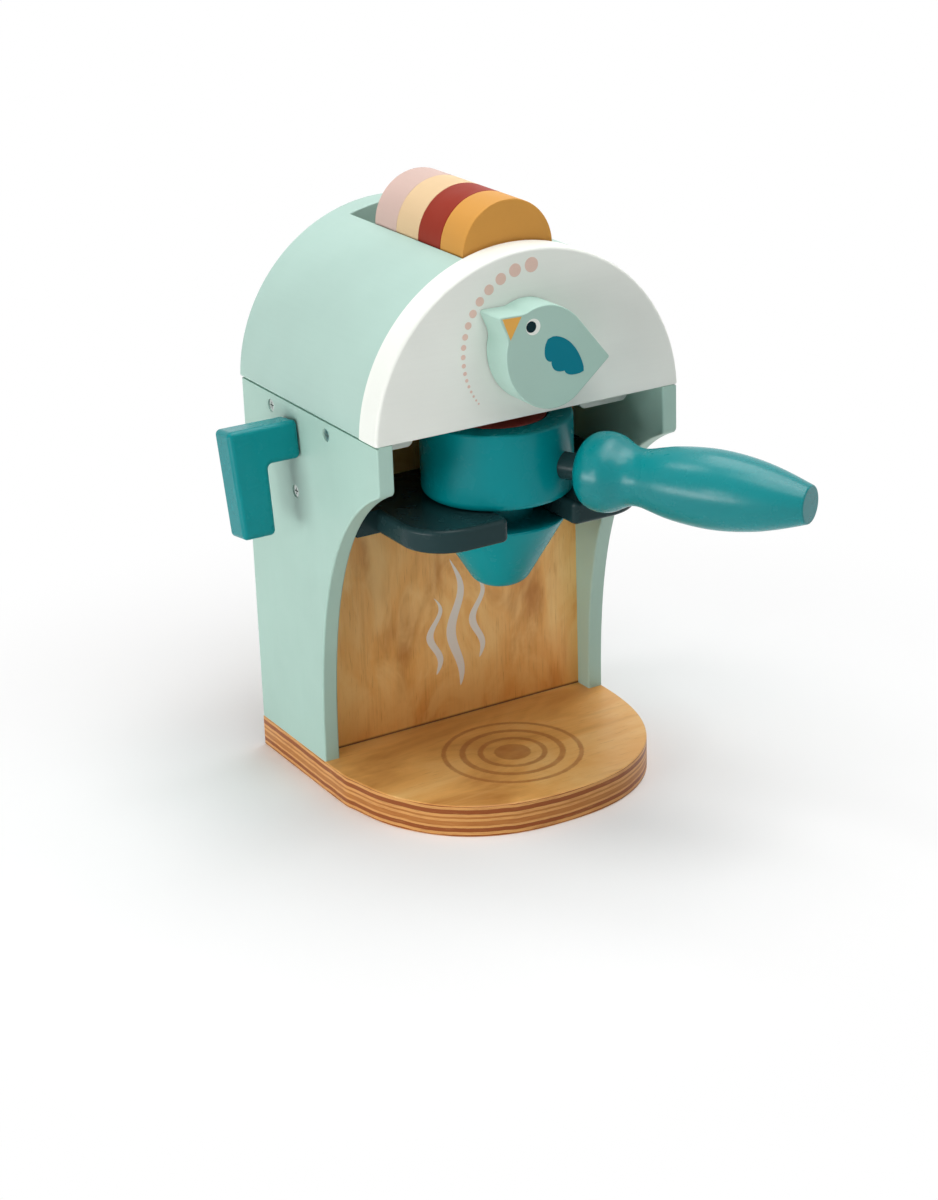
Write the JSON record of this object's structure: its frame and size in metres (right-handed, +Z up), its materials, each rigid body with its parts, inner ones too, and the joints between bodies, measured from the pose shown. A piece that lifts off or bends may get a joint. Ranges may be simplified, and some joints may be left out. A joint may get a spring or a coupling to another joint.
{
  "type": "toy coffee maker",
  "caption": "Wooden toy coffee maker: arched case with half-round hood, pod slot, sliding portafilter with turned handle, bird knob dial and side steam lever.",
  "frame": {"origin": "underside of the base board, on the centre plane, midway between its front and rear edges", "axes": "+Z up, front faces -Y, +X to the right of someone who faces the front; the lever is on the -X side"},
  "size_m": [0.2239, 0.2772, 0.327],
  "materials": {
    "plywood": "stained and varnished, satin",
    "mint_paint": "painted, satin",
    "white_paint": "painted, satin",
    "navy_paint": "painted, satin",
    "bare_wood": "unfinished",
    "teal_paint": "painted, satin",
    "terracotta_paint": "painted, satin",
    "orange_paint": "painted, satin",
    "maroon_paint": "painted, satin",
    "cream_paint": "painted, satin",
    "pink_paint": "painted, satin",
    "steel": "zinc plated"
  },
  "bodies": {
    "machine": {"base_board": "plywood", "side_panel_left": "mint_paint", "side_panel_right": "mint_paint", "back_panel": "plywood", "hood_block": "mint_paint", "front_panel": "white_paint", "cleat_left": "white_paint", "cleat_right": "white_paint", "fork_shelf": "navy_paint", "front_dowels": "bare_wood", "panel_screws": "steel", "cleat_screws": "steel", "fork_screws": "steel", "base_screws": "steel", "lever_lock_screw": "steel"},
    "knob": {"knob_body": "mint_paint", "knob_axle": "bare_wood", "knob_retainer": "bare_wood", "knob_screw": "steel"},
    "lever": {"lever_arm": "teal_paint", "lever_pin": "steel"},
    "spout": {"spout_cone": "teal_paint"},
    "portafilter": {"porta_cup": "teal_paint", "porta_stem": "navy_paint", "porta_handle": "teal_paint"},
    "cup_pod": {"pod_terracotta": "terracotta_paint"},
    "pod_orange": {"pod_orange": "orange_paint"},
    "pod_maroon": {"pod_maroon": "maroon_paint"},
    "pod_cream": {"pod_cream": "cream_paint"},
    "pod_pink": {"pod_pink": "pink_paint"}
  },
  "joints": [
    {"name": "knob_turn", "type": "hinge", "parent": "machine", "child": "knob", "pos_m": [0, -0.0613, 0.2564], "axis": [0, 1, 0], "range_deg": [-70, 60]},
    {"name": "lever_swing", "type": "hinge", "parent": "machine", "child": "lever", "pos_m": [-0.09, 0.0319, 0.199], "axis": [1, 0, 0], "range_deg": [-53, 67]},
    {"name": "portafilter_slide", "type": "slide", "parent": "machine", "child": "spout", "axis": [0, -1, 0], "range_m": [0, 0.07]},
    {"name": "portafilter_turn", "type": "hinge", "parent": "spout", "child": "portafilter", "pos_m": [0, -0.0255, 0.1693], "axis": [0, 0, 1], "range_deg": [-57, 0]},
    {"name": "cup_pod_lift", "type": "slide", "parent": "portafilter", "child": "cup_pod", "axis": [0, 0, 1], "range_m": [0, 0.007]},
    {"name": "pod_orange_lift", "type": "slide", "parent": "machine", "child": "pod_orange", "axis": [0, 0, 1], "range_m": [0, 0.045]},
    {"name": "pod_maroon_lift", "type": "slide", "parent": "machine", "child": "pod_maroon", "axis": [0, 0, 1], "range_m": [0, 0.045]},
    {"name": "pod_cream_lift", "type": "slide", "parent": "machine", "child": "pod_cream", "axis": [0, 0, 1], "range_m": [0, 0.045]},
    {"name": "pod_pink_lift", "type": "slide", "parent": "machine", "child": "pod_pink", "axis": [0, 0, 1], "range_m": [0, 0.045]}
  ]
}
